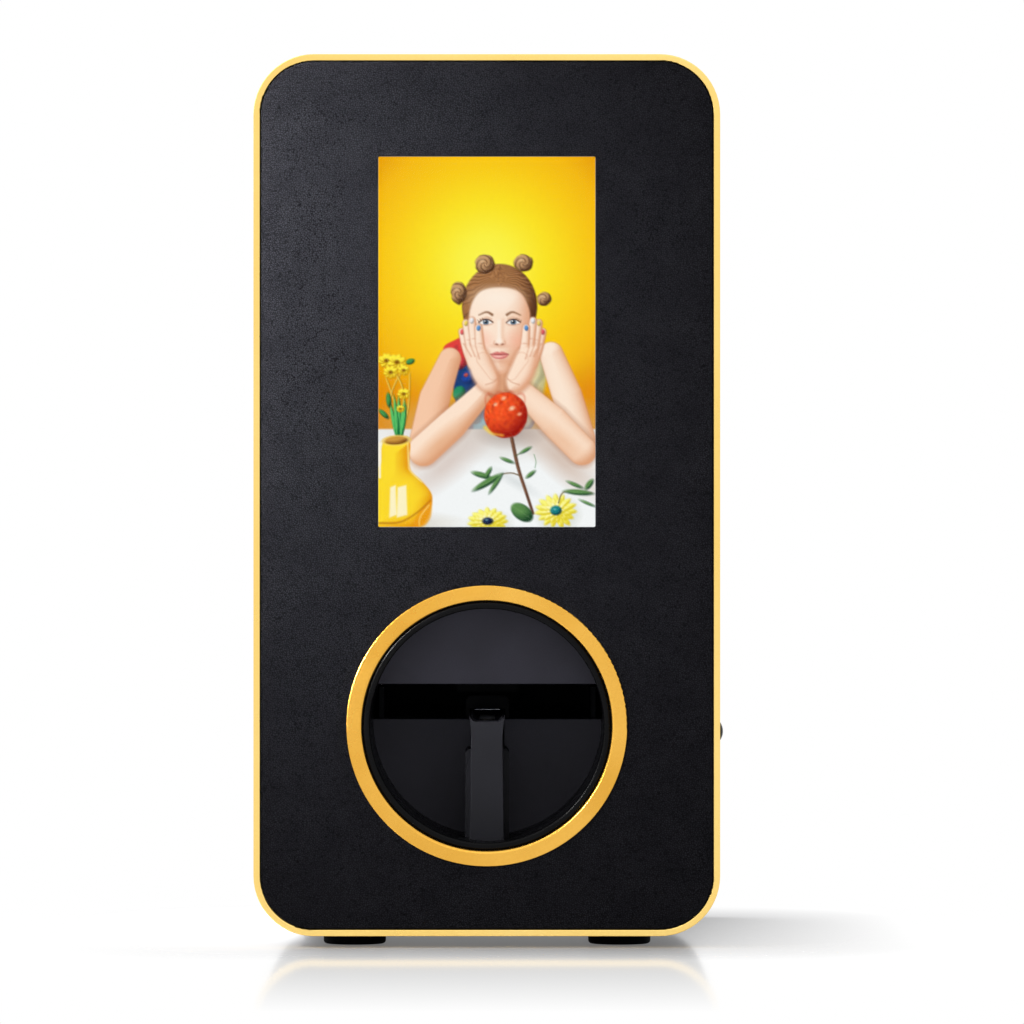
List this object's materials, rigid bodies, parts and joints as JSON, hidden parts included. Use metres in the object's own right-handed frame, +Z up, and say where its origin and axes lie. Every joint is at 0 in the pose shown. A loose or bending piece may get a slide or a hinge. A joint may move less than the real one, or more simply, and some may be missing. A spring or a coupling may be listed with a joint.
{
  "type": "nail art printer",
  "caption": "Tall rounded desktop nail art printer: portrait display over a round hand opening, with a finger rest and grip post.",
  "frame": {"origin": "on the table, midway across and midway along the cabinet", "axes": "+Z up; +Y towards the rear, so the display faces -Y; +X to the operator's right"},
  "size_m": [0.196, 0.236, 0.3705],
  "materials": {
    "gold_trim": "satin gold plate",
    "grained_skin": "fine grained, matt",
    "black_moulding": "fine matt",
    "casing_coat": "fine matt texture",
    "black_gloss": "gloss",
    "foot_rubber": "matt",
    "dark_steel": "zinc plated",
    "bright_steel": "polished",
    "screw_black": "black oxide",
    "bronze": "sintered",
    "screen_glass": "polished",
    "screen_face": "lit display",
    "circuit_green": "solder mask",
    "belt_rubber": "toothed rubber",
    "pad_silicone": "soft silicone",
    "sponge": "open felt",
    "lamp_white": "milky"
  },
  "bodies": {
    "cabinet": {"trim_frame": "gold_trim", "opening_ring": "gold_trim", "fascia_panel": "grained_skin", "front_carrier": "black_moulding", "casing": "casing_coat", "rear_cover": "casing_coat", "foot_front_left": "foot_rubber", "foot_front_right": "foot_rubber", "foot_rear_left": "foot_rubber", "foot_rear_right": "foot_rubber", "foot_screws": "screw_black", "front_screws": "screw_black", "cover_screws": "screw_black", "mechanism_frame": "dark_steel", "shaft_supports": "black_moulding", "gantry_rails": "bright_steel", "y_motor": "dark_steel", "display_glass": "screen_glass", "display_panel": "screen_face", "display_bracket": "dark_steel", "display_board": "circuit_green", "hand_tunnel": "black_gloss", "visor_panel": "black_moulding", "palm_panel": "black_moulding", "grip_post": "black_moulding", "post_stem": "black_moulding", "cradle_springs": "bright_steel", "nail_stop": "black_gloss", "print_tray": "black_moulding", "ink_sponge": "sponge", "chamber_light": "lamp_white", "fan_frame": "black_moulding", "board_bracket": "dark_steel", "main_board": "circuit_green", "port_board": "circuit_green", "power_inlet": "black_gloss", "usb_port": "bright_steel", "button_bezel": "black_gloss", "power_switch": "black_moulding", "door_magnets": "bright_steel"},
    "power_button": {"power_button": "black_gloss"},
    "finger_rest": {"finger_cradle": "black_moulding", "cradle_pad": "pad_silicone"},
    "gantry": {"gantry_block_left": "black_moulding", "gantry_block_right": "black_moulding", "gantry_bushes": "bronze", "carriage_rails": "bright_steel", "x_motor": "dark_steel", "drive_belt": "belt_rubber"},
    "lead_screw": {"lead_screw": "bright_steel"},
    "drive_pulley": {"drive_pulley": "dark_steel"},
    "idler_pulley": {"idler_pulley": "dark_steel"},
    "carriage": {"carriage": "black_moulding", "carriage_bushes": "bronze", "ink_cartridge": "black_gloss", "nail_camera": "black_gloss"},
    "cartridge_latch": {"cartridge_latch": "black_gloss"},
    "service_door": {"service_door": "casing_coat", "door_strike_plates": "bright_steel"},
    "fan_rotor": {"fan_rotor": "black_moulding"}
  },
  "joints": [
    {"name": "power_button_press", "type": "slide", "parent": "cabinet", "child": "power_button", "axis": [-1, 0, 0], "range_m": [0, 0.0012], "stiffness_N_per_m": 600},
    {"name": "finger_rest_press", "type": "slide", "parent": "cabinet", "child": "finger_rest", "axis": [0, 0, -1], "range_m": [0, 0.008], "stiffness_N_per_m": 300, "springref_m": -0.003, "deforming": ["cradle_springs"]},
    {"name": "gantry_travel", "type": "slide", "parent": "cabinet", "child": "gantry", "axis": [0, 1, 0], "range_m": [-0.014, 0.014]},
    {"name": "lead_screw_spin", "type": "hinge", "parent": "cabinet", "child": "lead_screw", "pos_m": [0.05875, 0, 0.152], "axis": [0, 1, 0], "range_deg": [-1265, 1265]},
    {"name": "carriage_travel", "type": "slide", "parent": "gantry", "child": "carriage", "axis": [1, 0, 0], "range_m": [-0.016, 0.016]},
    {"name": "drive_pulley_spin", "type": "hinge", "parent": "gantry", "child": "drive_pulley", "pos_m": [-0.05875, -0.055, 0.161], "axis": [0, 0, 1], "range_deg": [-168.2, 168.2]},
    {"name": "idler_pulley_spin", "type": "hinge", "parent": "gantry", "child": "idler_pulley", "pos_m": [0.05875, -0.055, 0.161], "axis": [0, 0, 1], "range_deg": [-168.2, 168.2]},
    {"name": "cartridge_latch_hinge", "type": "hinge", "parent": "carriage", "child": "cartridge_latch", "pos_m": [0, 0.015, 0.17], "axis": [-1, 0, 0], "range_deg": [0, 70]},
    {"name": "service_door_hinge", "type": "hinge", "parent": "cabinet", "child": "service_door", "pos_m": [-0.0455, 0.116, 0.152], "axis": [0, 0, 1], "range_deg": [0, 95]},
    {"name": "fan_spin", "type": "hinge", "parent": "cabinet", "child": "fan_rotor", "pos_m": [0, 0.109, 0.312], "axis": [0, 1, 0], "continuous": true}
  ],
  "couplings": [
    {"joint": "lead_screw_spin", "follows": "gantry_travel", "rad_per_m": 1570.8},
    {"joint": "drive_pulley_spin", "follows": "carriage_travel", "rad_per_m": -180.18},
    {"joint": "idler_pulley_spin", "follows": "carriage_travel", "rad_per_m": -180.18}
  ]
}
